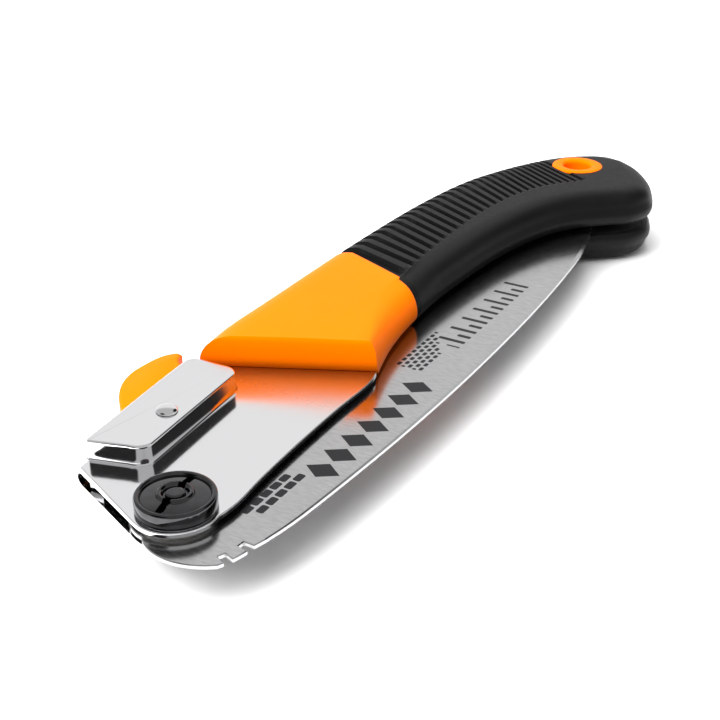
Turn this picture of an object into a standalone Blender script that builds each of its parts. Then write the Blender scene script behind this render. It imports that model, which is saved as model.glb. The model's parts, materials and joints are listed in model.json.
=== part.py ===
"""Folding pruning saw, closed: a curved-handle saw whose 240 mm blade folds into a slot in the grip.

Lengths are in millimetres in the saw's own plan, with the blade pivot at the origin, +X toward the butt,
+Y toward the back of the handle, and Z up through the thickness. place() turns them into world metres.
"""

from math import atan2, cos, hypot, pi, radians, sin

import bmesh
import bpy

MM = 0.001

# Where the pivot stands in the world, so that the closed saw is centred on the origin.
PIVOT_X = -132.2
PIVOT_Y = -8.7

# Thickness stack, measured from the table under the handle.
HANDLE_THICK = 27.0
MID = HANDLE_THICK / 2
BLADE_THICK = 1.3
CHANNEL_THICK = 6.0
SHEET = 1.2
PAD_RISE = 5.5
PLATE_TOP = MID + CHANNEL_THICK / 2
PLATE_BASE = MID - CHANNEL_THICK / 2
PAD_TOP = PLATE_TOP + PAD_RISE
PAD_BASE = PLATE_BASE - PAD_RISE

# Fit between neighbouring pieces.
GAP = 0.1
RUNNING_GAP = 0.3

# Heights well clear of the saw, where cutters start and end.
BELOW = -5.0
ABOVE = 40.0

# Pivot.
SHANK_R = 4.0
THREAD_R = 2.4
NUT_R = 10.0
NUT_RISE = 3.8
NUT_SLOT_ANGLE = 9.0
NUT_SLOT_HALF = 1.1
NUT_SLOT_REACH = 14.0
NUT_SLOT_DEPTH = 1.6
BOLT_HEAD_R = 9.0
BOLT_HEAD_RISE = 3.4
HEX_KEY_R = 3.2
HEX_KEY_DEPTH = 2.2
WASHER_R = 9.0

# Bolster, the folded sheet-metal channel.
NOSE_R = 11.3
NOSE_START = 157.5
NOSE_END = 280.0

# Blade.
TOOTH_COUNT = 62
TOOTH_DEPTH = 2.6
PLAIN_TIP = 3
HEEL = (14.6, 14.5)
TIP = (246.6, -3.0)
CREST_R = 22.9
NOTCH_DEPTH = 2.9
NOTCH_WIDTH = 2.4
NOTCH_ANGLES = (-112.0, -95.2)
CAM_START = 172.0
CAM_START_R = 11.4
CAM_END = 241.0

# Lock.
LOCK_X = 27.1
LOCK_Y = 24.0
RIVET_R = 2.0
RIVET_HEAD_R = 3.0
RIVET_HEAD_RISE = 1.5
PAWL_THICK = 2.4
PAWL_ANGLE = 88.0
PAWL_TOOTH = 1.4
LEVER_THICK = 10.0
LEVER_ROUND = 0.7
WINDOW_GAP = 0.8
HUB_R = 3.9
SPACER_R = 3.1
SPRING_WIRE = 0.7
SPRING_R = 3.0
SPRING_TURNS = 2

# Handle. EDGE_LEVELS rounds a half over, as height above the parting plane and inset.
SKIN = 2.0
EDGE_LEVELS = (
    (0.05, 1.6), (1.8, 0.9), (3.6, 0.2), (6.0, 0.0), (9.0, 1.0), (11.2, 2.7), (12.7, 5.0), (13.5, 8.5),
)
FRONT_SHARE = 0.2
BLADE_SLOT_HALF = 1.8
TAIL_SLOT_HALF = CHANNEL_THICK / 2 + GAP
TONGUE = ((104.0, 22.0), (138.0, 22.0), (138.0, 35.0), (104.0, 35.0))
TONGUE_RISE = 8.0
RIB_COUNT = 27
RIB_PITCH = 4.34
RIB_START = 131.5
RIB_WIDTH = 1.6
RIB_DEPTH = 1.2
TAIL_PINS = ((75.0, 24.0), (93.0, 24.0))
TAIL_PIN_R = 2.0
TAIL_PIN_BASE = 5.6
SCREWS = ((116.5, 28.5), (170.5, 29.0), (222.5, 21.0))
SCREW_R = 1.8
SCREW_HEAD_R = 3.2
SCREW_SINK = 1.2
SCREW_HEAD_RISE = 2.6
SCREW_TOP = 22.0
SCREW_BORE_TOP = 22.4
EYELET = (256.6, 1.0)
EYELET_HOLE_R = 5.2
EYELET_TUBE_R = 7.0
EYELET_FLANGE_R = 9.8
EYELET_FLANGE = 1.4
EYELET_PROUD = 0.4


def smooth(points, steps):
    """A curve through the points, with straight ends."""
    curve = []
    for i in range(len(points) - 1):
        before = points[max(i - 1, 0)]
        start = points[i]
        end = points[i + 1]
        after = points[min(i + 2, len(points) - 1)]
        for k in range(steps):
            t = k / steps
            curve.append(
                tuple(
                    0.5
                    * (
                        2 * b
                        + (c - a) * t
                        + (2 * a - 5 * b + 4 * c - d) * t**2
                        + (3 * b - a - 3 * c + d) * t**3
                    )
                    for a, b, c, d in zip(before, start, end, after)
                )
            )
    curve.append(points[-1])
    return curve


def arc(centre, radius, start, end, count):
    """Points on an arc, angles in degrees."""
    angles = [radians(start + (end - start) * i / (count - 1)) for i in range(count)]
    return [(centre[0] + radius * cos(a), centre[1] + radius * sin(a)) for a in angles]


def turn_outward(made):
    """Points every face of a closed mesh outward."""
    work = bmesh.new()
    work.from_mesh(made.data)
    bmesh.ops.recalc_face_normals(work, faces=work.faces)
    work.to_mesh(made.data)
    work.free()
    return made


def circle(centre, radius, count=24):
    return arc(centre, radius, 0, 360 * (count - 1) / count, count)


def inset(outline, distance, front_share=1.0):
    """Moves a counter-clockwise outline inward. Its end points are the front face, which moves less."""
    moved = []
    count = len(outline)
    for i, (x, y) in enumerate(outline):
        ax, ay = outline[i - 1]
        bx, by = outline[(i + 1) % count]
        first = atan2(y - ay, x - ax)
        second = atan2(by - y, bx - x)
        shift_first = distance * (front_share if i == 0 else 1.0)
        shift_second = distance * (front_share if i == count - 1 else 1.0)
        n1 = (-sin(first), cos(first))
        n2 = (-sin(second), cos(second))
        across = n1[0] * n2[1] - n1[1] * n2[0]
        if abs(across) < 0.02:
            move = (n1[0] * shift_first, n1[1] * shift_first)
        else:
            move = (
                (shift_first * n2[1] - shift_second * n1[1]) / across,
                (shift_second * n1[0] - shift_first * n2[0]) / across,
            )
        moved.append((x + move[0], y + move[1]))
    return moved


def place(x, y, z):
    return ((x + PIVOT_X) * MM, (y + PIVOT_Y) * MM, z * MM)


def material(name, colour, metallic, roughness):
    made = bpy.data.materials.new(name)
    made.use_nodes = True
    shader = made.node_tree.nodes["Principled BSDF"]
    shader.inputs["Base Color"].default_value = (*colour, 1.0)
    shader.inputs["Metallic"].default_value = metallic
    shader.inputs["Roughness"].default_value = roughness
    return made


def body(name, points, faces, origin=(0.0, 0.0, 0.0)):
    """One closed mesh object whose own origin stands at the given point of the saw's plan."""
    world_origin = place(*origin)
    mesh = bpy.data.meshes.new(name)
    local = [tuple(p - o for p, o in zip(place(*point), world_origin)) for point in points]
    mesh.from_pydata(local, [], faces)
    made = bpy.data.objects.new(name, mesh)
    made.location = world_origin
    bpy.context.scene.collection.objects.link(made)
    return made


def loft(name, levels, origin=(0.0, 0.0, 0.0)):
    """A solid through outlines of equal length at rising heights: levels holds (z, outline) pairs."""
    points = [(x, y, z) for z, outline in levels for x, y in outline]
    count = len(levels[0][1])
    faces = [tuple(reversed(range(count)))]
    for level in range(len(levels) - 1):
        low = level * count
        for i in range(count):
            j = (i + 1) % count
            faces.append((low + i, low + j, low + count + j, low + count + i))
    top = (len(levels) - 1) * count
    faces.append(tuple(range(top, top + count)))
    return body(name, points, faces, origin)


def prism(name, outline, low, high, origin=(0.0, 0.0, 0.0)):
    return loft(name, [(low, outline), (high, outline)], origin)


def lathe(name, centre, profile, count=32, origin=None):
    """A turned solid about a vertical axis. profile holds (radius, z) pairs round one closed section."""
    points = []
    for i in range(count):
        a = 2 * pi * i / count
        points += [(centre[0] + r * cos(a), centre[1] + r * sin(a), z) for r, z in profile]
    size = len(profile)
    faces = []
    for i in range(count):
        j = (i + 1) % count
        for k in range(size):
            n = (k + 1) % size
            faces.append((i * size + k, j * size + k, j * size + n, i * size + n))
    return turn_outward(body(name, points, faces, origin or (centre[0], centre[1], 0.0)))


def spindle(name, centre, profile, count=32, origin=None):
    """A turned solid with no bore. profile holds (radius, z) pairs from the foot to the top."""
    base = origin or (centre[0], centre[1], 0.0)
    return loft(name, [(z, circle(centre, r, count)) for r, z in profile], base)


def hide(tool):
    tool.hide_render = True
    tool.display_type = "WIRE"


def combine(target, tool, operation):
    step = target.modifiers.new(f"{operation}_{tool.name}"[:60], "BOOLEAN")
    step.operation = operation
    step.solver = "EXACT"
    step.object = tool
    hide(tool)


def cut(target, tool):
    combine(target, tool, "DIFFERENCE")


def join(target, tool):
    combine(target, tool, "UNION")


def keep(target, tool):
    combine(target, tool, "INTERSECT")


def paint(target, slot):
    target.data.materials.clear()
    target.data.materials.append(slot)


# ---------------------------------------------------------------- bolster


def bolster_outline(back_inset=0.0):
    """Plan of the channel. The fold runs along the back, and back_inset moves only that edge."""
    nose = arc((0.0, 0.0), NOSE_R, NOSE_START, NOSE_END, 12)
    lower = [(9.0, -11.6), (20.6, -10.4), (38.6, -9.3), (58.6, -8.7), (78.6, -8.4), (88.6, -3.0), (100.6, 8.0)]
    back = [(100.6, 32.4), (66.0, 32.4), (60.6, 36.0), (54.6, 37.9), (40.6, 37.0), (20.6, 35.0), (1.4, 33.4)]
    return nose + lower + [(x, y - back_inset) for x, y in back]


def pad_outline(grow=0.0):
    """Plan of the raised pad that houses the lock, drawn at its top edge."""
    corner = arc((13.1, 21.6), 4.6, 180, 262, 5)
    far = arc((51.1, 25.2), 4.6, 285, 360, 5)
    points = corner + far + [(55.0, 33.0), (52.6, 37.7), (34.9, 36.0), (19.2, 34.2), (5.8, 32.4)]
    return inset(points, -grow)


def build_bolster():
    fold_round = 0.8
    channel = loft(
        "bolster",
        [
            (PLATE_BASE, bolster_outline(fold_round)),
            (PLATE_BASE + fold_round, bolster_outline()),
            (PLATE_TOP - fold_round, bolster_outline()),
            (PLATE_TOP, bolster_outline(fold_round)),
        ],
    )
    pad = loft(
        "pad_outside",
        [
            (PAD_BASE, pad_outline(-1.2)),
            (PAD_BASE + 1.0, pad_outline(-0.2)),
            (PLATE_BASE, pad_outline(0.6)),
            (PLATE_TOP, pad_outline(0.6)),
            (PAD_TOP - 1.0, pad_outline(-0.2)),
            (PAD_TOP, pad_outline(-1.2)),
        ],
    )
    join(channel, pad)
    hollow = prism(
        "channel_inside",
        [(-40.0, -40.0), (120.0, -40.0), (120.0, 31.2), (65.5, 31.2), (60.0, 34.8), (54.6, 36.7), (40.6, 35.8),
         (20.6, 33.8), (1.4, 32.1), (-40.0, 28.4)],
        PLATE_BASE + SHEET,
        PLATE_TOP - SHEET,
    )
    cut(channel, hollow)
    pad_hollow = loft(
        "pad_inside",
        [
            (PAD_BASE + SHEET, pad_outline(-2.4)),
            (PAD_BASE + SHEET + 1.0, pad_outline(-1.4)),
            (PLATE_BASE + SHEET, pad_outline(-0.8)),
            (PLATE_TOP - SHEET, pad_outline(-0.8)),
            (PAD_TOP - SHEET - 1.0, pad_outline(-1.4)),
            (PAD_TOP - SHEET, pad_outline(-2.4)),
        ],
    )
    cut(channel, pad_hollow)
    window = prism(
        "lever_window",
        [(19.0, 32.0), (57.2, 32.0), (57.2, 43.0), (19.0, 43.0)],
        MID - LEVER_THICK / 2 - WINDOW_GAP,
        MID + LEVER_THICK / 2 + WINDOW_GAP,
    )
    cut(channel, window)
    cut(channel, prism("pivot_bore", circle((0, 0), SHANK_R + GAP), 0, HANDLE_THICK))
    cut(channel, prism("rivet_bore", circle((LOCK_X, LOCK_Y), RIVET_R + GAP, 16), 0, HANDLE_THICK))
    for number, pin in enumerate(TAIL_PINS):
        cut(channel, prism(f"tail_bore_{number}", circle(pin, TAIL_PIN_R + GAP, 16), 0, HANDLE_THICK))
    return channel


# ---------------------------------------------------------------- blade


def polar(radius, angle):
    return (radius * cos(radians(angle)), radius * sin(radians(angle)))


def notch(angle):
    """The four corners of one lock notch in the tang, going round counter-clockwise."""
    half_mouth = NOTCH_WIDTH / 2 / CREST_R * 180 / pi
    half_root = half_mouth * 0.9
    root_r = CREST_R - NOTCH_DEPTH
    return [
        polar(CREST_R, angle - half_mouth),
        polar(root_r, angle - half_root),
        polar(root_r, angle + half_root),
        polar(CREST_R, angle + half_mouth),
    ]


def blade_outline():
    """Plan of the closed blade, counter-clockwise: cam, notches, spine, tip, teeth and the round of the tang."""
    cam = []
    steps = 9
    for i in range(steps):
        share = i / (steps - 1)
        angle = CAM_START + (CAM_END - CAM_START) * share
        cam.append(polar(CAM_START_R + (CREST_R - CAM_START_R) * share, angle))
    land = sum(NOTCH_ANGLES) / 2
    top = [polar(CREST_R, land - 2), polar(CREST_R, land + 2)]
    crest = notch(NOTCH_ANGLES[0]) + top + notch(NOTCH_ANGLES[1])
    spine = smooth(
        [(2.4, -23.8), (17.7, -25.9), (58.7, -28.3), (101.0, -29.0), (149.6, -27.7), (191.6, -24.5),
         (212.6, -21.2), (230.6, -16.0), (241.6, -9.8), TIP],
        4,
    )
    teeth = []
    run = (HEEL[0] - TIP[0], HEEL[1] - TIP[1])
    length = hypot(*run)
    across = (-run[1] / length, run[0] / length)
    for i in range(PLAIN_TIP, TOOTH_COUNT):
        root_share = (i + 0.4) / TOOTH_COUNT
        point_share = (i + 1.0) / TOOTH_COUNT
        root = (TIP[0] + run[0] * root_share, TIP[1] + run[1] * root_share)
        teeth.append((root[0] + across[0] * TOOTH_DEPTH, root[1] + across[1] * TOOTH_DEPTH))
        teeth.append((TIP[0] + run[0] * point_share, TIP[1] + run[1] * point_share))
    round_tang = arc((0, 0), CAM_START_R, 80, CAM_START - 8, 7)
    return cam + crest + spine + teeth + round_tang


def build_blade():
    blade = prism("blade", blade_outline(), MID - BLADE_THICK / 2, MID + BLADE_THICK / 2, (0.0, 0.0, MID))
    cut(blade, prism("blade_bore", circle((0, 0), SHANK_R + RUNNING_GAP), 0, HANDLE_THICK))
    return blade


# ---------------------------------------------------------------- pivot


def build_pivot():
    bolt = spindle(
        "pivot_bolt",
        (0, 0),
        [
            (BOLT_HEAD_R - 1.6, PLATE_BASE - GAP - BOLT_HEAD_RISE),
            (BOLT_HEAD_R, PLATE_BASE - GAP - BOLT_HEAD_RISE + 1.2),
            (BOLT_HEAD_R, PLATE_BASE - GAP),
            (SHANK_R, PLATE_BASE - GAP),
            (SHANK_R, PLATE_TOP - GAP),
            (THREAD_R, PLATE_TOP - GAP),
            (THREAD_R, PLATE_TOP + NUT_RISE + 0.1),
        ],
    )
    key = prism("hex_key", circle((0, 0), HEX_KEY_R, 6), 0, PLATE_BASE - GAP - BOLT_HEAD_RISE + HEX_KEY_DEPTH)
    cut(bolt, key)

    foot = PLATE_TOP + GAP
    top = PLATE_TOP + NUT_RISE
    nut = lathe(
        "pivot_nut",
        (0, 0),
        [
            (THREAD_R + GAP, foot),
            (NUT_R, foot),
            (NUT_R, top - 0.6),
            (NUT_R - 0.6, top),
            (NUT_R - 1.5, top),
            (NUT_R - 2.4, top - 0.5),
            (4.6, top + 0.3),
            (4.2, top + 0.6),
            (3.0, top + 0.6),
            (THREAD_R + GAP, top - 0.2),
        ],
        40,
    )
    turn = radians(NUT_SLOT_ANGLE)
    reach = NUT_SLOT_REACH
    half = NUT_SLOT_HALF
    corners = [(-reach, -half), (reach, -half), (reach, half), (-reach, half)]
    turned = [(x * cos(turn) - y * sin(turn), x * sin(turn) + y * cos(turn)) for x, y in corners]
    slot = prism("nut_slot", turned, top - NUT_SLOT_DEPTH, ABOVE)
    cut(nut, slot)

    low = PLATE_BASE + SHEET + GAP
    high = PLATE_TOP - SHEET - GAP
    blade_low = MID - BLADE_THICK / 2 - GAP
    blade_high = MID + BLADE_THICK / 2 + GAP
    ring = SHANK_R + RUNNING_GAP
    lower_profile = [(ring, low), (WASHER_R, low), (WASHER_R, blade_low), (ring, blade_low)]
    upper_profile = [(ring, blade_high), (WASHER_R, blade_high), (WASHER_R, high), (ring, high)]
    lower = lathe("washer_lower", (0, 0), lower_profile)
    upper = lathe("washer_upper", (0, 0), upper_profile)
    return bolt, nut, lower, upper


# ---------------------------------------------------------------- lock


def pawl_outline(grow=0.0):
    """Plan of the steel pawl: a hub, an arm and a tooth that points at the pivot."""
    across = polar(1.0, PAWL_ANGLE + 90)
    half = PAWL_TOOTH / 2
    tip = polar(CREST_R + RUNNING_GAP, PAWL_ANGLE)
    root = polar(CREST_R + RUNNING_GAP + 2.6, PAWL_ANGLE)
    tooth = [(p[0] + s * half * across[0], p[1] + s * half * across[1]) for p, s in
             ((root, 1), (tip, 1), (tip, -1), (root, -1))]
    arm = [(5.0, 25.0), (12.0, 22.9), (20.6, 21.0)]
    hub = arc((LOCK_X, LOCK_Y), HUB_R - 0.3, -100, 100, 9)
    head = [(14.6, 28.6), (2.0, 28.4), (0.2, 27.4)]
    return inset(tooth + arm + hub + head, -grow)


def build_lock():
    low = MID - PAWL_THICK / 2
    high = MID + PAWL_THICK / 2
    axis = (LOCK_X, LOCK_Y, MID)
    pawl = prism("lock_pawl", pawl_outline(), low, high, axis)
    cut(pawl, prism("pawl_bore", circle((LOCK_X, LOCK_Y), RIVET_R + GAP, 16), 0, HANDLE_THICK))

    hub = arc((LOCK_X, LOCK_Y), HUB_R, 180, 320, 8)
    thumb = smooth(
        [(60.2, 45.2), (60.2, 47.6), (56.2, 50.0), (50.6, 50.9), (44.1, 50.9), (38.0, 49.1), (32.0, 45.1),
         (26.6, 39.6), (23.5, 35.0), (23.2, 29.0)],
        2,
    )
    plan = hub + [(40.6, 24.5), (47.6, 29.5), (49.2, 36.0), (54.2, 40.6), (57.2, 44.2)] + thumb
    lever_low = MID - LEVER_THICK / 2
    lever_high = MID + LEVER_THICK / 2
    lever = loft(
        "thumb_lever",
        [
            (lever_low, inset(plan, LEVER_ROUND)),
            (lever_low + LEVER_ROUND, plan),
            (lever_high - LEVER_ROUND, plan),
            (lever_high, inset(plan, LEVER_ROUND)),
        ],
        axis,
    )
    cut(lever, prism("pawl_seat", pawl_outline(GAP), low - GAP, high + GAP))
    cut(lever, prism("lever_bore", circle((LOCK_X, LOCK_Y), RIVET_R + GAP, 16), 0, HANDLE_THICK))

    rivet = spindle(
        "lock_rivet",
        (LOCK_X, LOCK_Y),
        [
            (1.4, PAD_BASE - GAP - RIVET_HEAD_RISE),
            (2.5, PAD_BASE - GAP - RIVET_HEAD_RISE + 0.5),
            (RIVET_HEAD_R, PAD_BASE - GAP),
            (RIVET_R, PAD_BASE - GAP),
            (RIVET_R, PAD_TOP + GAP),
            (RIVET_HEAD_R, PAD_TOP + GAP),
            (2.5, PAD_TOP + GAP + RIVET_HEAD_RISE - 0.5),
            (1.4, PAD_TOP + GAP + RIVET_HEAD_RISE),
        ],
        16,
    )
    spacer = lathe(
        "lever_spacer",
        (LOCK_X, LOCK_Y),
        [
            (RIVET_R + GAP, lever_high + GAP),
            (SPACER_R, lever_high + GAP),
            (SPACER_R, PAD_TOP - SHEET - GAP),
            (RIVET_R + GAP, PAD_TOP - SHEET - GAP),
        ],
        16,
    )
    return pawl, lever, rivet, spacer


def tube(name, path, radius, sides, origin):
    """A round wire along a path of points, closed with flat ends."""
    points = []
    for i, here in enumerate(path):
        before = path[max(i - 1, 0)]
        after = path[min(i + 1, len(path) - 1)]
        along = [a - b for a, b in zip(after, before)]
        size = hypot(*along)
        along = [a / size for a in along]
        flat = hypot(along[0], along[1])
        side = (-along[1] / flat, along[0] / flat, 0.0)
        up = (
            along[1] * side[2] - along[2] * side[1],
            along[2] * side[0] - along[0] * side[2],
            along[0] * side[1] - along[1] * side[0],
        )
        for k in range(sides):
            a = 2 * pi * k / sides
            points.append(tuple(h + radius * (cos(a) * s + sin(a) * u) for h, s, u in zip(here, side, up)))
    faces = [tuple(reversed(range(sides)))]
    for i in range(len(path) - 1):
        for k in range(sides):
            n = (k + 1) % sides
            faces.append((i * sides + k, i * sides + n, (i + 1) * sides + n, (i + 1) * sides + k))
    last = (len(path) - 1) * sides
    faces.append(tuple(range(last, last + sides)))
    return turn_outward(body(name, points, faces, origin))


def build_spring():
    """A coil round the rivet under the lever, with one leg against the bolster wall."""
    wire = SPRING_WIRE / 2
    start_z = PAD_BASE + SHEET + GAP + wire
    rise = SPRING_WIRE + 0.05
    per_turn = 12
    path = []
    for i in range(SPRING_TURNS * per_turn + 1):
        a = 2 * pi * i / per_turn + pi
        path.append((LOCK_X + SPRING_R * cos(a), LOCK_Y + SPRING_R * sin(a), start_z + rise * i / per_turn))
    leg = (LOCK_X - SPRING_R, LOCK_Y + 5.5, start_z - 0.01)
    return tube("lock_spring", [leg] + path, wire, 6, (LOCK_X, LOCK_Y, MID))


# ---------------------------------------------------------------- handle


def handle_outline():
    """Plan of the closed handle at its widest, counter-clockwise from the front corner beside the blade."""
    blade_side = [(81.8, -7.8), (91.6, -5.4), (100.6, -3.4), (116.6, -1.2), (134.6, 0.0), (150.6, -0.2),
                  (167.6, -1.0), (182.6, -2.5), (197.6, -5.4), (210.6, -9.6), (220.6, -15.6), (228.0, -23.0)]
    butt = [(235.0, -30.2), (245.0, -33.6), (255.4, -31.0), (264.0, -26.4), (271.6, -20.6), (277.4, -13.6),
            (279.8, -6.2), (279.0, 0.8), (275.0, 7.8), (269.0, 14.4)]
    back = [(260.6, 20.4), (250.6, 25.6), (238.6, 30.6), (223.6, 35.2), (206.6, 38.0), (184.6, 39.8),
            (160.6, 40.4), (134.6, 40.4), (110.6, 40.0), (90.6, 39.5), (72.0, 39.2), (59.4, 38.0)]
    return blade_side + butt + back


def half_shape(name, upper, skin, start=None):
    """One half of the handle as a pillow. skin shrinks it, for the core, and start moves its flat side."""
    plan = handle_outline()
    share = (HANDLE_THICK / 2 - skin) / (HANDLE_THICK / 2)
    side = 1 if upper else -1
    levels = []
    for height, move in EDGE_LEVELS:
        rise = height * share if height > 1 else height
        levels.append((MID + side * rise, inset(plan, move + skin, FRONT_SHARE if skin == 0 else -1.0)))
    if start is not None:
        levels[0] = (MID + side * start, levels[0][1])
    if not upper:
        levels.reverse()
    return loft(name, levels)


def rubber_front(shift):
    """The line across the handle where the hard collar ends and the rubber begins, moved along X by shift."""
    line = [(110.6, -41.0), (114.2, -7.0), (116.6, -1.0), (120.2, 3.0), (124.6, 8.0), (127.6, 14.0),
            (135.1, 45.0)]
    return [(x + shift, y) for x, y in line]


def slot_outline():
    """Plan of the blade's slot between the halves, open along the blade side and round the butt."""
    outside = [(40.0, -60.0), (310.0, -60.0), (310.0, -18.0)]
    floor = [(275.0, -15.5), (264.6, -12.5), (255.0, -8.4), (250.0, -4.2), (248.2, 0.6), (240.6, 5.4),
             (225.6, 8.8), (204.6, 12.0), (180.6, 14.6), (150.6, 17.0), (122.6, 18.4), (102.6, 18.6), (40.0, 18.6)]
    return outside + floor


def tail_outline():
    """Plan of the pocket that the bolster's tail fills inside the collar."""
    return [(40.0, -60.0), (79.0, -60.0), (79.0, -8.8), (88.9, -3.4), (101.0, 7.8), (101.0, 32.8),
            (66.2, 32.8), (61.2, 36.6), (58.0, 44.0), (40.0, 44.0)]


def eyelet_profile():
    low = 0.0
    high = HANDLE_THICK + EYELET_PROUD
    return [
        (EYELET_HOLE_R, low + 0.8),
        (EYELET_HOLE_R + 0.8, low),
        (EYELET_FLANGE_R - 0.6, low),
        (EYELET_FLANGE_R, low + 0.6),
        (EYELET_FLANGE_R, low + EYELET_FLANGE),
        (EYELET_TUBE_R, low + EYELET_FLANGE),
        (EYELET_TUBE_R, high - EYELET_FLANGE),
        (EYELET_FLANGE_R, high - EYELET_FLANGE),
        (EYELET_FLANGE_R, high - 0.6),
        (EYELET_FLANGE_R - 0.6, high),
        (EYELET_HOLE_R + 0.8, high),
        (EYELET_HOLE_R, high - 0.8),
    ]


def bore_half(half, upper, tag):
    """Holes that both the core and the rubber of one half share."""
    cut(half, prism(f"eyelet_bore_{tag}", circle(EYELET, EYELET_TUBE_R + GAP, 32), BELOW, ABOVE))
    clear = circle(EYELET, EYELET_FLANGE_R + GAP, 32)
    if upper:
        cut(half, prism(f"flange_seat_{tag}", clear, HANDLE_THICK + EYELET_PROUD - EYELET_FLANGE - GAP, ABOVE))
    else:
        cut(half, prism(f"flange_seat_{tag}", clear, BELOW, EYELET_FLANGE + GAP))
        for number, screw in enumerate(SCREWS):
            head = circle(screw, SCREW_HEAD_R + GAP, 16)
            cut(half, prism(f"head_well_{tag}_{number}", head, BELOW, SCREW_SINK + SCREW_HEAD_RISE + GAP))


def hollow_slots(half, tag):
    cut(half, prism(f"blade_slot_{tag}", slot_outline(), MID - BLADE_SLOT_HALF, MID + BLADE_SLOT_HALF))
    cut(half, prism(f"tail_slot_{tag}", tail_outline(), MID - TAIL_SLOT_HALF, MID + TAIL_SLOT_HALF))


def screw_bores(half, tag):
    for number, screw in enumerate(SCREWS):
        cut(half, prism(f"screw_bore_{tag}_{number}", circle(screw, SCREW_R + GAP, 16), BELOW, SCREW_BORE_TOP))


def tongue(name, upper, grow, start):
    """The block of the core that reaches into the collar, or with grow the socket for it."""
    low = start
    high = TONGUE_RISE + grow
    if not upper:
        low, high = -high, -low
    return prism(name, inset(TONGUE, -grow), MID + low, MID + high)


def build_collar(upper):
    side = "upper" if upper else "lower"
    collar = half_shape(f"collar_{side}", upper, 0.0)
    ahead = [(30.0, 60.0), (30.0, -60.0), (108.0, -60.0)] + rubber_front(-GAP) + [(134.0, 60.0)]
    keep(collar, prism(f"collar_zone_{side}", ahead, BELOW, ABOVE))
    hollow_slots(collar, f"collar_{side}")
    cut(collar, tongue(f"tongue_socket_{side}", upper, GAP, -1.0))
    pin_low = TAIL_PIN_BASE
    pin_high = HANDLE_THICK - TAIL_PIN_BASE
    for number, pin in enumerate(TAIL_PINS):
        round_pin = circle(pin, TAIL_PIN_R + GAP, 16)
        cut(collar, prism(f"pin_bore_{side}_{number}", round_pin, pin_low - 2 * GAP, pin_high + 2 * GAP))
    screw_bores(collar, f"collar_{side}")
    if not upper:
        head = circle(SCREWS[0], SCREW_HEAD_R + GAP, 16)
        cut(collar, prism("collar_head_well", head, BELOW, SCREW_SINK + SCREW_HEAD_RISE + GAP))
    return collar


def behind_zone():
    return rubber_front(0.0) + [(134.5, 80.0), (20.0, 80.0), (20.0, -80.0), (110.0, -80.0)]


def build_core(upper):
    side = "upper" if upper else "lower"
    core = half_shape(f"core_{side}", upper, SKIN + GAP)
    cut(core, prism(f"core_zone_{side}", behind_zone(), BELOW, ABOVE))
    join(core, tongue(f"tongue_{side}", upper, 0.0, 0.05))
    hollow_slots(core, side)
    bore_half(core, upper, side)
    screw_bores(core, side)
    return core


def build_rubber(upper):
    side = "upper" if upper else "lower"
    grip = half_shape(f"grip_{side}", upper, 0.0)
    cut(grip, prism(f"grip_zone_{side}", behind_zone(), BELOW, ABOVE))
    cut(grip, half_shape(f"core_space_{side}", upper, SKIN, -0.5))
    hollow_slots(grip, f"grip_{side}")
    bore_half(grip, upper, f"grip_{side}")
    low, high = (HANDLE_THICK - RIB_DEPTH, ABOVE) if upper else (BELOW, RIB_DEPTH)
    for number in range(RIB_COUNT):
        x = RIB_START + RIB_PITCH * number
        share = number / (RIB_COUNT - 1)
        lean = radians(15.0 - 10.0 * sin(pi * share) + 5.0 * share)
        middle_y = 26.0 - 12.0 * share**4
        half_length = 19.0 - 8.0 * share**3
        along = (sin(lean), cos(lean))
        across = (cos(lean), -sin(lean))
        corners = []
        for a, b in ((-1, -1), (1, -1), (1, 1), (-1, 1)):
            corners.append(
                (
                    x + 4.0 * along[0] + b * half_length * along[0] + a * RIB_WIDTH / 2 * across[0],
                    middle_y + b * half_length * along[1] + a * RIB_WIDTH / 2 * across[1],
                )
            )
        cut(grip, prism(f"groove_{side}_{number}", corners, low, high))
    return grip


def build_fasteners():
    pins = []
    for number, pin in enumerate(TAIL_PINS):
        name = ("tail_pin_front", "tail_pin_rear")[number]
        ends = [(TAIL_PIN_R, TAIL_PIN_BASE), (TAIL_PIN_R, HANDLE_THICK - TAIL_PIN_BASE)]
        pins.append(spindle(name, pin, ends, 16))
    screws = []
    for number, screw in enumerate(SCREWS):
        name = ("handle_screw_front", "handle_screw_middle", "handle_screw_rear")[number]
        made = spindle(
            name,
            screw,
            [
                (SCREW_HEAD_R, SCREW_SINK),
                (SCREW_HEAD_R, SCREW_SINK + SCREW_HEAD_RISE),
                (SCREW_R, SCREW_SINK + SCREW_HEAD_RISE),
                (SCREW_R, SCREW_TOP - 1.0),
                (0.4, SCREW_TOP),
            ],
            16,
        )
        cut(made, prism(f"screw_drive_{number}", circle(screw, 1.6, 6), 0, SCREW_SINK + 1.4))
        screws.append(made)
    return pins, screws


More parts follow.
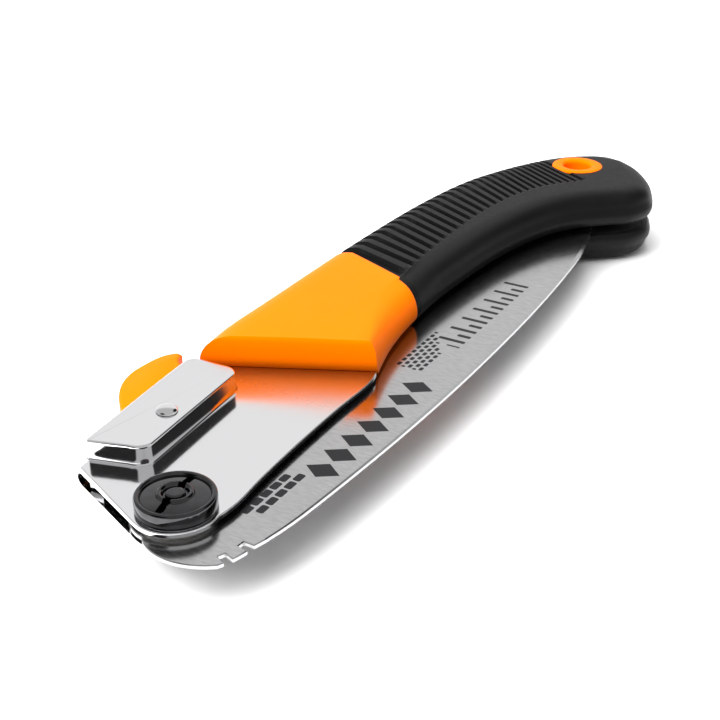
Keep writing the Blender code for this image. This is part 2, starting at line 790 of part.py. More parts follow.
def main():
    for old in list(bpy.data.objects):
        bpy.data.objects.remove(old)

    chrome = material("bolster_chrome", (0.85, 0.86, 0.88), 1.0, 0.08)
    steel = material("blade_steel", (0.72, 0.73, 0.74), 1.0, 0.32)
    dark = material("pivot_dark", (0.06, 0.06, 0.07), 1.0, 0.18)
    bright = material("fastener_steel", (0.70, 0.70, 0.71), 1.0, 0.25)
    nylon = material("washer_nylon", (0.85, 0.84, 0.80), 0.0, 0.5)
    orange = material("orange_plastic", (0.95, 0.30, 0.02), 0.0, 0.35)
    hard_black = material("core_plastic", (0.02, 0.02, 0.02), 0.0, 0.4)
    black = material("grip_rubber", (0.03, 0.03, 0.03), 0.0, 0.7)

    paint(build_bolster(), chrome)
    paint(build_blade(), steel)
    bolt, nut, lower_washer, upper_washer = build_pivot()
    paint(bolt, dark)
    paint(nut, dark)
    paint(lower_washer, nylon)
    paint(upper_washer, nylon)
    pawl, lever, rivet, spacer = build_lock()
    paint(pawl, bright)
    paint(lever, orange)
    paint(rivet, bright)
    paint(spacer, nylon)
    paint(build_spring(), bright)
    for upper in (False, True):
        paint(build_collar(upper), orange)
        paint(build_core(upper), hard_black)
        paint(build_rubber(upper), black)
    pins, screws = build_fasteners()
    for fastener in pins + screws:
        paint(fastener, bright)
    paint(lathe("hanging_eyelet", EYELET, eyelet_profile(), 32), orange)


main()
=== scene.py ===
"""Folding pruning saw, closed and lying on a white studio floor.

Lengths are in millimetres in the saw's own plan: the blade pivot is the origin, +X runs toward the butt,
+Y toward the back of the handle and +Z up from the floor. to_world() turns them into world metres.
"""

import json
from math import cos, hypot, pi, radians, sin

import bmesh
import bpy
import numpy as np
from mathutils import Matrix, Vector
from mathutils.geometry import delaunay_2d_cdt


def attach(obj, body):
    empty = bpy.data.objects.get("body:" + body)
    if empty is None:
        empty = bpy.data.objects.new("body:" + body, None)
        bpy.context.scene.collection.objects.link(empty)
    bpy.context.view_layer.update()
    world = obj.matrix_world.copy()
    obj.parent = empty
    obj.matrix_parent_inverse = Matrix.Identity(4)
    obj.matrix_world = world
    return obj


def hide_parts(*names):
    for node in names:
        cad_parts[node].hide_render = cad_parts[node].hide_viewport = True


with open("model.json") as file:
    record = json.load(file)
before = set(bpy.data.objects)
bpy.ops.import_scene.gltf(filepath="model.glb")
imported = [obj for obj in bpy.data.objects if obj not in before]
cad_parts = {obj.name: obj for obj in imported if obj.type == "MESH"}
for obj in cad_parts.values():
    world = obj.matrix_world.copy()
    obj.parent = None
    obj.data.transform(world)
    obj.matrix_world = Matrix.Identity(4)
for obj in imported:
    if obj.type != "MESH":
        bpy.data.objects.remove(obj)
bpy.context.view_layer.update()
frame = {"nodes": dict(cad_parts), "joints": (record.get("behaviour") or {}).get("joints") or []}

MM = 0.001
PIVOT = next(j["pos_m"] for j in frame["joints"] if j["name"] == "blade_fold")
RIVET = next(j["pos_m"] for j in frame["joints"] if j["name"] == "lock_lever")
LOCK = ((RIVET[0] - PIVOT[0]) / MM, (RIVET[1] - PIVOT[1]) / MM)

# Camera: the heading and pitch of the view, and where it stands.
HEADING = 30.54
PITCH = 27.51
CAMERA_AT = (-0.3132, -0.1659, 0.1782)
AWAY = (0.8612, 0.5082)
RIGHT = (0.5082, -0.8612)

# Brightness of the surround from straight behind the camera (0) to straight ahead (1).
SURROUND = ((0.0, 0.5), (0.76, 0.5), (0.87, 0.88))

# Black flags that darken the walls of the lock housing: where they stand in the sky, and how their edges fade.
FLAGS_AT = ((0.731, -0.430, 0.530), (-0.826, 0.191, 0.530))
FLAG = ((0.0, 1.0), (0.955, 1.0), (0.975, 0.04), (1.0, 0.04))

# Thickness stack.
THICK = 27.0
MID = THICK / 2
PLATE_TOP = MID + 3.0
PLATE_BASE = MID - 3.0
SHEET = 1.2
PAD_TOP = PLATE_TOP + 5.5
PAD_BASE = PLATE_BASE - 5.5
BLADE_HALF = 0.65
LEVER_HALF = 5.0
PAWL_HALF = 1.2
GAP = 0.1

# Bolster.
NOSE_R = 11.3
FOLD_R = 3.0
RIM_ROUND = 0.28
FLAT_RING = 0.5

# Blade.
CREST_R = 22.9
CAM_START = 172.0
CAM_START_R = 11.4
CAM_END = 241.0
NOTCH_ANGLES = (-112.0, -95.2)
NOTCH_DEPTH = 2.9
NOTCH_WIDTH = 2.4
HEEL = (14.6, 14.5)
TIP = (246.6, -3.0)
TOOTH_COUNT = 62
PLAIN_TIP = 3
TOOTH_DEPTH = 2.6
TOOTH_GRIND = 0.9
BORE_R = 4.3

# Pivot and lock.
NUT_R = 10.0
NUT_TOP = PLATE_TOP + 3.8
NUT_SLOT_ANGLE = 9.0
PAWL_ANGLE = 88.0
RIVET_R = 2.0
RIVET_HEAD_R = 3.0

# Handle. A station holds plan points on the blade side, on the ridge line and on the back.
STATIONS = (
    ((80.8, -8.3), (72.6, 8.9), (58.4, 37.5)),
    ((119.3, -1.0), (124.6, 8.4), (134.5, 40.4)),
    ((140.0, -0.1), (147.9, 10.0), (158.5, 40.4)),
    ((162.0, -0.7), (168.2, 10.9), (179.0, 40.0)),
    ((184.0, -2.7), (187.9, 10.9), (199.5, 38.6)),
    ((202.5, -6.8), (205.7, 9.2), (220.0, 35.9)),
    ((216.5, -12.9), (220.5, 5.7), (236.0, 31.4)),
    ((227.0, -21.9), (231.8, 0.0), (248.5, 26.6)),
    ((236.0, -31.0), (240.8, -7.5), (258.5, 21.5)),
    ((251.0, -32.6), (252.0, -12.5), (267.5, 15.6)),
    ((265.5, -25.4), (266.0, -14.0), (276.5, 5.4)),
    ((277.8, -12.6), (277.8, -12.6), (277.8, -12.6)),
)
BOUNDARY_STATION = 1
LAST_RIB_STATION = 8
RIBS = 27
RIB_DEPTH = 1.6
LEAN = 0.5
FRONT_SHARE = 0.12
FRONT_TURN = 7.0
FRONT_UNDERCUT = 1.6
CORNER_SHARE = 0.3
SKIN = 2.0
SLOT_HALF = 1.8
TAIL_HALF = 3.1
SCREWS = ((116.5, 28.5), (170.5, 29.0), (222.5, 21.0))
EYELET = (256.6, 1.0)
EYELET_HOLE_R = 5.2
EYELET_TUBE_R = 7.0
EYELET_FLANGE_R = 9.8


# ---------------------------------------------------------------- plan geometry


def smooth(points, steps):
    """A curve through the points, with straight ends."""
    curve = []
    for i in range(len(points) - 1):
        a = np.array(points[max(i - 1, 0)])
        b = np.array(points[i])
        c = np.array(points[i + 1])
        d = np.array(points[min(i + 2, len(points) - 1)])
        for k in range(steps):
            t = k / steps
            bend = (2 * a - 5 * b + 4 * c - d) * t**2 + (3 * b - a - 3 * c + d) * t**3
            curve.append(tuple(0.5 * (2 * b + (c - a) * t + bend)))
    curve.append(tuple(points[-1]))
    return curve


def arc(centre, radius, start, end, count):
    """Points on an arc, angles in degrees."""
    angles = np.radians(np.linspace(start, end, count))
    return [(centre[0] + radius * cos(a), centre[1] + radius * sin(a)) for a in angles]


def circle(centre, radius, count=64):
    return arc(centre, radius, 0, 360 * (count - 1) / count, count)


def polar(radius, angle):
    return (radius * cos(radians(angle)), radius * sin(radians(angle)))


def inset(outline, distance):
    """Moves a closed counter-clockwise outline inward, by one distance or by one for each point."""
    points = np.array(outline, float)
    distance = np.broadcast_to(distance, len(points))
    before = points - np.roll(points, 1, axis=0)
    after = np.roll(points, -1, axis=0) - points
    before /= np.linalg.norm(before, axis=1)[:, None]
    after /= np.linalg.norm(after, axis=1)[:, None]
    normal = np.stack([-(before + after)[:, 1], (before + after)[:, 0]], axis=1)
    normal /= np.linalg.norm(normal, axis=1)[:, None]
    square = np.stack([-after[:, 1], after[:, 0]], axis=1)
    spread = np.clip((normal * square).sum(axis=1), 0.6, 1.0)
    moved = points + normal * (distance / spread)[:, None]
    return [tuple(p) for p in moved]


def to_world(points):
    points = np.array(points, float)
    return points * MM + np.array([PIVOT[0], PIVOT[1], 0.0])


# ---------------------------------------------------------------- meshes


def solid(name, points, faces):
    """A mesh object from plan millimetres, with its faces turned outward."""
    mesh = bpy.data.meshes.new(name)
    mesh.from_pydata(to_world(points).tolist(), [], [tuple(int(i) for i in face) for face in faces])
    work = bmesh.new()
    work.from_mesh(mesh)
    bmesh.ops.remove_doubles(work, verts=work.verts, dist=1e-7)
    bmesh.ops.recalc_face_normals(work, faces=work.faces)
    work.to_mesh(mesh)
    work.free()
    made = bpy.data.objects.new(name, mesh)
    bpy.context.scene.collection.objects.link(made)
    return made


def loft(name, levels):
    """A solid through outlines of equal length: levels holds (z, outline) pairs."""
    count = len(levels[0][1])
    points = [(x, y, z) for z, outline in levels for x, y in outline]
    faces = [tuple(reversed(range(count)))]
    for level in range(len(levels) - 1):
        low = level * count
        for i in range(count):
            j = (i + 1) % count
            faces.append((low + i, low + j, low + count + j, low + count + i))
    top = (len(levels) - 1) * count
    faces.append(tuple(range(top, top + count)))
    return solid(name, points, faces)


def prism(name, outline, low, high):
    return loft(name, [(low, outline), (high, outline)])


def lathe(name, centre, profile, count=96):
    """A turned solid. profile holds (radius, z) pairs round one closed section."""
    size = len(profile)
    points = []
    for i in range(count):
        a = 2 * pi * i / count
        points += [(centre[0] + r * cos(a), centre[1] + r * sin(a), z) for r, z in profile]
    faces = []
    for i in range(count):
        j = (i + 1) % count
        for k in range(size):
            n = (k + 1) % size
            faces.append((i * size + k, j * size + k, j * size + n, i * size + n))
    return solid(name, points, faces)


def fill(points, outer, hole):
    """Triangles over a flat area: outer and hole hold the numbers of its plan points."""
    used = list(outer) + list(hole)
    rings = [(0, len(outer)), (len(outer), len(used))]
    edges = [(i, i + 1 if i + 1 < end else start) for start, end in rings for i in range(start, end)]
    flat = [Vector(points[i][:2]) for i in used]
    places, _, faces, originals, _, _ = delaunay_2d_cdt(flat, edges, [], 0, 1e-6)
    boundary = [points[i][:2] for i in outer]
    opening = [points[i][:2] for i in hole]
    kept = []
    for face in faces:
        centre = sum((places[i] for i in face), Vector((0, 0))) / len(face)
        if contains(boundary, centre) and not contains(opening, centre):
            kept.append(tuple(used[originals[i][0]] for i in face))
    return kept


def contains(outline, spot):
    """Whether a plan point is inside an outline."""
    inside = False
    x, y = spot
    for (ax, ay), (bx, by) in zip(outline, outline[1:] + outline[:1]):
        if (ay > y) != (by > y) and x < ax + (bx - ax) * (y - ay) / (by - ay):
            inside = not inside
    return inside


def spindle(name, centre, profile, count=64):
    """A turned solid with no bore. profile holds (radius, z) pairs from the foot to the top."""
    return loft(name, [(z, circle(centre, r, count)) for r, z in profile])


def boolean(target, tool, operation):
    step = target.modifiers.new("shape", "BOOLEAN")
    step.operation = operation
    step.solver = "EXACT"
    step.object = tool
    bpy.context.view_layer.update()
    shaped = bpy.data.meshes.new_from_object(target.evaluated_get(bpy.context.evaluated_depsgraph_get()))
    target.modifiers.clear()
    target.data = shaped
    bpy.data.objects.remove(tool)


def cut(target, tool):
    boolean(target, tool, "DIFFERENCE")


def join(target, tool):
    boolean(target, tool, "UNION")


def present(piece, material, body, nodes, sharp=35.0):
    """Shades a finished piece, hangs it on its body's empty and hides the CAD nodes that it stands in for."""
    piece.data.materials.clear()
    piece.data.materials.append(material)
    for face in piece.data.polygons:
        face.use_smooth = True
        face.material_index = 0
    piece.data.set_sharp_from_angle(angle=radians(sharp))
    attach(piece, body)
    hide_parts(*nodes)
    return piece


# ---------------------------------------------------------------- materials


def new_material(name, colour, metallic, roughness):
    made = bpy.data.materials.new(name)
    made.use_nodes = True
    shader = made.node_tree.nodes["Principled BSDF"]
    shader.inputs["Base Color"].default_value = (*colour, 1.0)
    shader.inputs["Metallic"].default_value = metallic
    shader.inputs["Roughness"].default_value = roughness
    return made, made.node_tree, shader


def object_noise(tree, scale, detail=4.0, stretch=(1.0, 1.0, 1.0)):
    """Noise in the piece's own metres, stretched along some axes."""
    place = tree.nodes.new("ShaderNodeTexCoord")
    mapping = tree.nodes.new("ShaderNodeMapping")
    mapping.inputs["Scale"].default_value = stretch
    noise = tree.nodes.new("ShaderNodeTexNoise")
    noise.inputs["Scale"].default_value = scale
    noise.inputs["Detail"].default_value = detail
    tree.links.new(place.outputs["Object"], mapping.inputs["Vector"])
    tree.links.new(mapping.outputs["Vector"], noise.inputs["Vector"])
    return noise.outputs["Fac"]


def spread(tree, value, low, high):
    """Maps a value of 0 to 1 onto low to high."""
    step = tree.nodes.new("ShaderNodeMapRange")
    step.inputs["To Min"].default_value = low
    step.inputs["To Max"].default_value = high
    tree.links.new(value, step.inputs["Value"])
    return step.outputs["Result"]


def bump(tree, shader, height, strength, distance):
    step = tree.nodes.new("ShaderNodeBump")
    step.inputs["Strength"].default_value = strength
    step.inputs["Distance"].default_value = distance
    tree.links.new(height, step.inputs["Height"])
    tree.links.new(step.outputs["Normal"], shader.inputs["Normal"])


def tint(tree, shader, value, dark, light):
    """Colours a surface between two tones by a value of 0 to 1."""
    mix = tree.nodes.new("ShaderNodeMix")
    mix.data_type = "RGBA"
    mix.inputs["A"].default_value = (*dark, 1.0)
    mix.inputs["B"].default_value = (*light, 1.0)
    tree.links.new(value, mix.inputs["Factor"])
    tree.links.new(mix.outputs["Result"], shader.inputs["Base Color"])
    return mix.outputs["Result"]


def chrome_material():
    made, tree, shader = new_material("bolster_chrome", (0.86, 0.86, 0.87), 1.0, 0.05)
    wear = object_noise(tree, 260.0, 5.0, (1.0, 6.0, 1.0))
    field = Field(tree)
    place = tree.nodes.new("ShaderNodeTexCoord")
    split = tree.nodes.new("ShaderNodeSeparateXYZ")
    tree.links.new(place.outputs["Object"], split.inputs["Vector"])
    toward_collar = tree.nodes.new("ShaderNodeMapRange")
    toward_collar.inputs["From Min"].default_value = PIVOT[0] + 45 * MM
    toward_collar.inputs["From Max"].default_value = PIVOT[0] + 62 * MM
    toward_collar.inputs["To Min"].default_value = 0.04
    toward_collar.inputs["To Max"].default_value = 0.25
    tree.links.new(split.outputs["X"], toward_collar.inputs["Value"])
    satin = field.do("MULTIPLY", flat_top(tree, field), toward_collar.outputs["Result"])
    polished = spread(tree, wear, 0.04, 0.1)
    tree.links.new(field.do("ADD", satin, polished), shader.inputs["Roughness"])
    bump(tree, shader, object_noise(tree, 60.0, 2.0), 0.012, 0.0004)
    return made


def nickel_material():
    made, tree, shader = new_material("pivot_nickel", (0.13, 0.13, 0.135), 1.0, 0.14)
    wear = object_noise(tree, 900.0, 4.0)
    tree.links.new(spread(tree, wear, 0.04, 0.14), shader.inputs["Roughness"])
    tint(tree, shader, object_noise(tree, 300.0), (0.05, 0.05, 0.052), (0.11, 0.11, 0.114))
    return made


def fastener_material():
    made, tree, shader = new_material("fastener_steel", (0.62, 0.62, 0.63), 1.0, 0.2)
    tree.links.new(spread(tree, object_noise(tree, 700.0), 0.1, 0.3), shader.inputs["Roughness"])
    return made


def nylon_material():
    made, tree, shader = new_material("washer_nylon", (0.75, 0.74, 0.70), 0.0, 0.45)
    tint(tree, shader, object_noise(tree, 200.0), (0.70, 0.69, 0.64), (0.80, 0.79, 0.75))
    return made


def orange_material():
    made, tree, shader = new_material("orange_plastic", (1.0, 0.33, 0.0), 0.0, 0.34)
    tint(tree, shader, object_noise(tree, 35.0, 2.0), (0.98, 0.165, 0.0), (1.0, 0.18, 0.0))
    tree.links.new(spread(tree, object_noise(tree, 400.0), 0.28, 0.42), shader.inputs["Roughness"])
    bump(tree, shader, object_noise(tree, 2600.0, 2.0), 0.08, 0.0001)
    shader.inputs["Specular IOR Level"].default_value = 0.03
    shader.inputs["Specular Tint"].default_value = (1.0, 0.35, 0.02, 1.0)
    return made


def core_material():
    made, tree, shader = new_material("core_plastic", (0.012, 0.012, 0.012), 0.0, 0.5)
    tree.links.new(spread(tree, object_noise(tree, 500.0), 0.42, 0.6), shader.inputs["Roughness"])
    return made


def rubber_material():
    made, tree, shader = new_material("grip_rubber", (0.022, 0.022, 0.023), 0.0, 0.6)
    tint(tree, shader, object_noise(tree, 60.0, 3.0), (0.003, 0.003, 0.0032), (0.006, 0.006, 0.0063))
    tree.links.new(spread(tree, object_noise(tree, 800.0), 0.38, 0.52), shader.inputs["Roughness"])
    bump(tree, shader, object_noise(tree, 3200.0, 3.0), 0.25, 0.0001)
    shader.inputs["Specular IOR Level"].default_value = 0.14
    return made


# ---------------------------------------------------------------- printed pattern of the blade


class Field:
    """Small arithmetic on shader values, for drawing the printed marks."""

    def __init__(self, tree):
        self.tree = tree

    def do(self, operation, *values):
        step = self.tree.nodes.new("ShaderNodeMath")
        step.operation = operation
        for socket, value in zip(step.inputs, values):
            if isinstance(value, (int, float)):
                socket.default_value = value
            else:
                self.tree.links.new(value, socket)
        return step.outputs[0]

    def inside(self, value, centre, half):
        return self.do("LESS_THAN", self.do("ABSOLUTE", self.do("SUBTRACT", value, centre)), half)

    def repeat(self, value, pitch, shift=0.0):
        """Distance from the middle of the nearest cell, for cells pitch long."""
        cell = self.do("FRACT", self.do("DIVIDE", self.do("ADD", value, shift), pitch))
        return self.do("MULTIPLY", self.do("SUBTRACT", cell, 0.5), pitch)

    def rounded(self, along, across, half_along, half_across, corner):
        """A rectangle with rounded corners about the zero of along and across."""
        beyond = []
        for value, half in ((along, half_along), (across, half_across)):
            past = self.do("SUBTRACT", self.do("ABSOLUTE", value), half - corner)
            beyond.append(self.do("MAXIMUM", past, 0.0))
        squares = [self.do("MULTIPLY", part, part) for part in beyond]
        return self.do("LESS_THAN", self.do("ADD", *squares), corner**2)


def flat_top(tree, field):
    """One on faces that look straight up or down, zero elsewhere."""
    geometry = tree.nodes.new("ShaderNodeNewGeometry")
    facing = tree.nodes.new("ShaderNodeSeparateXYZ")
    tree.links.new(geometry.outputs["True Normal"], facing.inputs["Vector"])
    return field.do("GREATER_THAN", field.do("ABSOLUTE", facing.outputs["Z"]), 0.97)


def print_mask(tree):
    """Plain decoration along the blade: two rows of dashes, solid diamonds, a dot cluster and short bars."""
    field = Field(tree)
    place = tree.nodes.new("ShaderNodeTexCoord")
    split = tree.nodes.new("ShaderNodeSeparateXYZ")
    tree.links.new(place.outputs["Object"], split.inputs["Vector"])
    x = field.do("DIVIDE", field.do("SUBTRACT", split.outputs["X"], PIVOT[0]), MM)
    y = field.do("DIVIDE", field.do("SUBTRACT", split.outputs["Y"], PIVOT[1]), MM)

    marks = None
    for row, line_y in enumerate((-13.3, -16.3)):
        along = field.repeat(x, 4.0, 2.0 * row)
        dash = field.rounded(along, field.do("SUBTRACT", y, line_y), 1.7, 1.1, 0.6)
        mark = field.do("MULTIPLY", dash, field.inside(x, 18.0 + 2.0 * row, 10.0))
        marks = mark if marks is None else field.do("MAXIMUM", marks, mark)

    across = field.do("SUBTRACT", y, -19.6)
    along = field.repeat(x, 8.4, 4.0)
    width_share = field.do("DIVIDE", field.do("ABSOLUTE", along), 3.5)
    height_share = field.do("DIVIDE", field.do("ABSOLUTE", across), 5.0)
    diamond = field.do("LESS_THAN", field.do("ADD", width_share, height_share), 1.0)
    marks = field.do("MAXIMUM", marks, field.do("MULTIPLY", diamond, field.inside(x, 59.0, 29.4)))

    for row in range(5):
        along = field.repeat(x, 3.0, 1.5 * (row % 2))
        dot = field.rounded(along, field.do("ADD", y, 8.2 + 1.8 * row), 1.0, 0.6, 0.4)
        zone = field.inside(x, 105.75 - row * 1.5, 12.75 - row * 1.5)
        marks = field.do("MAXIMUM", marks, field.do("MULTIPLY", dot, zone))

    for pitch, shift, middle, half in ((8.0, 0.0, -14.6, 4.4), (4.0, 2.0, -16.8, 2.2)):
        bar = field.rounded(field.repeat(x, pitch, shift), field.do("SUBTRACT", y, middle), 0.8, half, 0.5)
        marks = field.do("MAXIMUM", marks, field.do("MULTIPLY", bar, field.inside(x, 139.0, 27.0)))
    return field.do("MULTIPLY", marks, flat_top(tree, field))


def blade_material():
    made, tree, shader = new_material("blade_steel", (0.5, 0.5, 0.5), 1.0, 0.34)
    grain = object_noise(tree, 1500.0, 6.0, (1.0, 0.25, 1.0))
    steel = tree.nodes.new("ShaderNodeMix")
    steel.data_type = "RGBA"
    steel.inputs["A"].default_value = (0.42, 0.42, 0.425, 1.0)
    steel.inputs["B"].default_value = (0.64, 0.64, 0.645, 1.0)
    tree.links.new(grain, steel.inputs["Factor"])
    mask = print_mask(tree)
    paint = tree.nodes.new("ShaderNodeMix")
    paint.data_type = "RGBA"
    paint.inputs["B"].default_value = (0.012, 0.012, 0.013, 1.0)
    tree.links.new(mask, paint.inputs["Factor"])
    tree.links.new(steel.outputs["Result"], paint.inputs["A"])
    tree.links.new(paint.outputs["Result"], shader.inputs["Base Color"])
    field = Field(tree)
    tree.links.new(field.do("SUBTRACT", 1.0, mask), shader.inputs["Metallic"])
    shader.inputs["Specular IOR Level"].default_value = 0.1
    tree.links.new(spread(tree, grain, 0.12, 0.22), shader.inputs["Roughness"])
    bump(tree, shader, grain, 0.05, 0.0001)
    return made


def floor_material():
    made, tree, shader = new_material("studio_floor", (0.92, 0.92, 0.92), 0.0, 0.7)
    tint(tree, shader, object_noise(tree, 3.0), (0.91, 0.91, 0.91), (0.93, 0.93, 0.93))
    return made


# ---------------------------------------------------------------- bolster


def bolster_outline(edge, fold, radius=NOSE_R):
    """Plan of the channel with its edges moved in by edge, and its folded back by fold."""
    nose = arc((0.0, 0.0), radius, 157.5, 280.0, 40)
    lower = smooth(
        [(2.0, -11.15), (9.0, -11.6), (20.6, -10.4), (38.6, -9.3), (58.6, -8.7), (78.6, -8.4), (88.6, -3.0), (100.6, 8.0)],
        4,
    )[1:]
    back = [(100.6, 32.4), (66.0, 32.4)]
    back += smooth([(60.6, 36.0), (54.6, 37.9), (40.6, 37.0), (20.6, 35.0), (1.4, 33.4)], 5)
    open_side = inset(nose + lower + back, edge)
    kept = len(nose) + len(lower)
    return open_side[:kept] + [(x, y - fold) for x, y in inset(nose + lower + back, 0.0)[kept:]]


def fold_inset(height, radius):
    """How far the half-round fold has turned in at a height above the middle of the channel."""
    return radius - max(radius**2 - height**2, 0.0) ** 0.5


def pad_outline(grow=0.0):
    corner = arc((13.1, 21.6), 4.6, 180, 262, 10)
    far = arc((51.1, 25.2), 4.6, 285, 360, 10)
    points = corner + far + arc((52.0, 34.7), 3.1, 0, 78, 6) + [(34.9, 36.0), (19.2, 34.2)]
    points += arc((6.7, 31.3), 1.6, 95, 165, 5)
    return inset(points, -grow)


def pocket_outline(wall):
    """Plan of the room inside the pad, one wall thickness in."""
    corner = arc((13.1, 21.6), 4.6, 180, 262, 6)
    far = arc((51.1, 25.2), 4.6, 285, 360, 6)
    return inset(corner + far + [(55.0, 33.0), (52.6, 36.6), (34.9, 36.0), (19.2, 34.2), (6.2, 32.0)], wall)


def pad_levels():
    """Heights above the plate and the growth of the pad's plan: flare at its foot, wall, rolled top edge."""
    return (
        (-0.6, 0.6),
        (0.02, 0.45),
        (0.15, 0.25),
        (0.4, 0.1),
        (1.8, 0.0),
        (4.6, 0.0),
        (5.0, 0.05),
        (5.25, -0.05),
        (5.42, -0.22),
        (5.5, -0.5),
        (5.5, -1.0),
    )


def build_bolster(material):
    levels = []
    for share in np.linspace(-1, 1, 25):
        height = 3.0 * sin(share * pi / 2)
        drop = 3.0 - abs(height)
        edge = RIM_ROUND - (max(RIM_ROUND**2 - max(RIM_ROUND - drop, 0.0) ** 2, 0.0)) ** 0.5
        levels.append((MID + height, bolster_outline(edge, fold_inset(height, FOLD_R))))
    rim = RIM_ROUND + FLAT_RING
    levels.insert(0, (PLATE_BASE, bolster_outline(rim, FOLD_R + FLAT_RING)))
    levels.append((PLATE_TOP, bolster_outline(rim, FOLD_R + FLAT_RING)))
    channel = loft("bolster", levels)
    upper = [(PLATE_TOP + rise, pad_outline(grow)) for rise, grow in pad_levels()]
    lower = [(PLATE_BASE - rise, pad_outline(grow)) for rise, grow in reversed(pad_levels())]
    join(channel, loft("pad", lower + upper))

    inner = FOLD_R - SHEET
    hollow = []
    for share in np.linspace(-1, 1, 9):
        height = inner * sin(share * pi / 2)
        fold = fold_inset(height, inner)
        back = [(120.0, 31.2), (65.5, 31.2), (60.0, 34.8), (54.6, 36.7), (40.6, 35.8), (20.6, 33.8), (1.4, 32.2), (-40.0, 28.4)]
        outline = [(-40.0, -40.0), (120.0, -40.0)] + [(x, y - fold) for x, y in back]
        hollow.append((MID + height, outline))
    cut(channel, loft("channel_inside", hollow))
    pocket = [(PAD_BASE + SHEET, 2.0), (PLATE_BASE, 1.3), (PLATE_TOP, 1.3), (PAD_TOP - SHEET, 2.0)]
    cut(channel, loft("pad_inside", [(z, pocket_outline(wall)) for z, wall in pocket]))
    window = [(19.0, 32.0), (57.2, 32.0), (57.2, 43.0), (19.0, 43.0)]
    cut(channel, prism("lever_window", window, MID - LEVER_HALF - 0.8, MID + LEVER_HALF + 0.8))
    cut(channel, prism("pivot_bore", circle((0, 0), 4.1, 32), 0, THICK))
    cut(channel, prism("rivet_bore", circle(LOCK, RIVET_R + GAP, 24), 0, THICK))
    return present(channel, material, "handle", ["bolster"], 30.0)


# ---------------------------------------------------------------- blade


def notch(angle):
    half_mouth = NOTCH_WIDTH / 2 / CREST_R * 180 / pi
    half_root = half_mouth * 0.9
    root_r = CREST_R - NOTCH_DEPTH
    return [
        polar(CREST_R, angle - half_mouth),
        polar(root_r, angle - half_root),
        polar(root_r, angle + half_root),
        polar(CREST_R, angle + half_mouth),
    ]


def build_blade(material):
    """A tapered-edge blade: the outline is chamfered round its spine, and each tooth is ground on one face."""
    cam = []
    for share in np.linspace(0, 1, 30):
        cam.append(polar(CAM_START_R + (CREST_R - CAM_START_R) * share, CAM_START + (CAM_END - CAM_START) * share))
    land = sum(NOTCH_ANGLES) / 2
    crest = [polar(CREST_R, NOTCH_ANGLES[0] - 5.0)]
    crest += notch(NOTCH_ANGLES[0]) + arc((0, 0), CREST_R, land - 4, land + 4, 5) + notch(NOTCH_ANGLES[1])
    spine = smooth(
        [(2.4, -23.8), (17.7, -25.9), (58.7, -28.3), (101.0, -29.0), (149.6, -27.7), (191.6, -24.5), (212.6, -21.2),
         (230.6, -16.0), (241.6, -9.8), TIP],
        10,
    )
    run = (HEEL[0] - TIP[0], HEEL[1] - TIP[1])
    length = hypot(*run)
    across = (-run[1] / length, run[0] / length)
    teeth = []
    for i in range(PLAIN_TIP, TOOTH_COUNT):
        root_share = (i + 0.4) / TOOTH_COUNT
        tip_share = (i + 1.0) / TOOTH_COUNT
        root = (TIP[0] + run[0] * root_share, TIP[1] + run[1] * root_share)
        teeth.append((root[0] + across[0] * TOOTH_DEPTH, root[1] + across[1] * TOOTH_DEPTH))
        teeth.append((TIP[0] + run[0] * tip_share, TIP[1] + run[1] * tip_share))
    tang = arc((0, 0), CAM_START_R, 80, CAM_START - 8, 16)
    outline = cam + crest + spine + teeth + tang
    first_tooth = len(cam) + len(crest) + len(spine)
    last_tooth = first_tooth + len(teeth)

    widths = np.full(len(outline), 0.25)
    spine_start = len(cam) + len(crest)
    widths[spine_start:first_tooth] = np.linspace(0.3, 1.7, first_tooth - spine_start)
    widths[first_tooth - 12 : first_tooth] = np.linspace(1.4, 0.0, 12)
    widths[first_tooth:last_tooth] = 0.0
    inner = inset(outline, widths)
    for i in range(first_tooth, last_tooth):
        inner[i] = outline[i]

    count = len(outline)
    rows = []
    for side in (-1, 1):
        edge = []
        for i, (x, y) in enumerate(outline):
            height = BLADE_HALF - (0.22 if i < first_tooth or i >= last_tooth else 0.0)
            tip = first_tooth <= i < last_tooth and (i - first_tooth) % 2 == 1
            ground = tip and ((i - first_tooth) // 2) % 2 == (0 if side > 0 else 1)
            edge.append((x, y, MID + side * (height - (TOOTH_GRIND if ground else 0.0))))
        flat = [(x, y, MID + side * BLADE_HALF) for x, y in inner]
        rows += [edge, flat] if side > 0 else [flat, edge]
    points = [p for row in rows for p in row]
    faces = []
    for row in range(3):
        for i in range(count):
            j = (i + 1) % count
            a, b = row * count + i, row * count + j
            faces.append((a, b, b + count, a + count))
    roots = [i for i in range(count) if not (first_tooth <= i < last_tooth and (i - first_tooth) % 2 == 1)]
    bore = circle((0, 0), BORE_R, 48)
    low_ring = range(len(points), len(points) + len(bore))
    points += [(x, y, MID - BLADE_HALF) for x, y in bore]
    high_ring = range(len(points), len(points) + len(bore))
    points += [(x, y, MID + BLADE_HALF) for x, y in bore]
    for i in range(len(bore)):
        j = (i + 1) % len(bore)
        faces.append((low_ring[i], low_ring[j], high_ring[j], high_ring[i]))
    for row, ring in ((0, low_ring), (3, high_ring)):
        faces += fill(points, [row * count + i for i in roots], list(ring))
        for i in range(first_tooth, last_tooth - 1, 2):
            faces.append((row * count + i, row * count + i + 1, row * count + (i + 2) % count))
    blade = solid("blade", points, faces)
    return present(blade, material, "blade", ["blade"], 4.0)


# ---------------------------------------------------------------- pivot and lock


def turned_slot(name, centre, angle, reach, half, low, high):
    turn = radians(angle)
    corners = [(-reach, -half), (reach, -half), (reach, half), (-reach, half)]
    spun = [(centre[0] + x * cos(turn) - y * sin(turn), centre[1] + x * sin(turn) + y * cos(turn)) for x, y in corners]
    return prism(name, spun, low, high)


